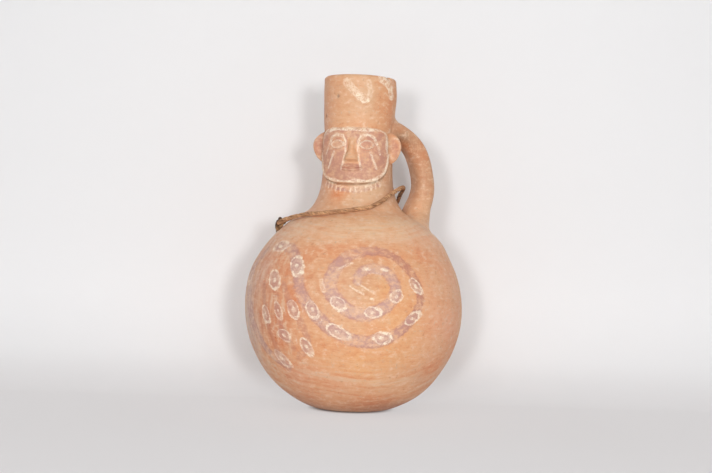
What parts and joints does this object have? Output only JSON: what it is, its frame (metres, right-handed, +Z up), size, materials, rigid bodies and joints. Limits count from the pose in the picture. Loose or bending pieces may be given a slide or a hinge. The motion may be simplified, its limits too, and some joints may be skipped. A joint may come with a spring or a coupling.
{
  "type": "figural clay bottle",
  "caption": "Round-bodied clay bottle with a tubular neck shaped as a head, a strap handle from head to shoulder and a cord tied loosely round the neck.",
  "frame": {"origin": "centre of the flat base, on the surface that the bottle stands on", "axes": "+Z up along the axis of body and neck, -Y toward the viewer of the painted front, +X to that viewer's right, where the handle is"},
  "size_m": [0.1464, 0.1464, 0.2245],
  "materials": {
    "buff_clay": "burnished, unglazed",
    "pale_clay": "burnished, unglazed, with cream slip",
    "painted_clay": "matt purple-brown slip, worn",
    "cream_clay": "matt cream slip, worn",
    "old_cord": "twisted plant fibre, darkened by age"
  },
  "bodies": {
    "vessel": {"lower_bowl": "buff_clay", "upper_bowl": "buff_clay", "neck_tube": "buff_clay", "head_tube": "buff_clay", "spout_collar": "pale_clay", "face_plaque": "painted_clay", "nose": "buff_clay", "left_eye": "cream_clay", "right_eye": "cream_clay", "mouth": "painted_clay", "left_ear": "painted_clay", "right_ear": "painted_clay", "handle_strap": "buff_clay"},
    "cord": {"neck_cord": "old_cord", "cord_knot": "old_cord"}
  },
  "joints": [
    {"name": "cord_turn", "type": "hinge", "parent": "vessel", "child": "cord", "pos_m": [0, 0, 0.135], "axis": [0, 0, 1], "range_deg": [-40, 90]}
  ]
}
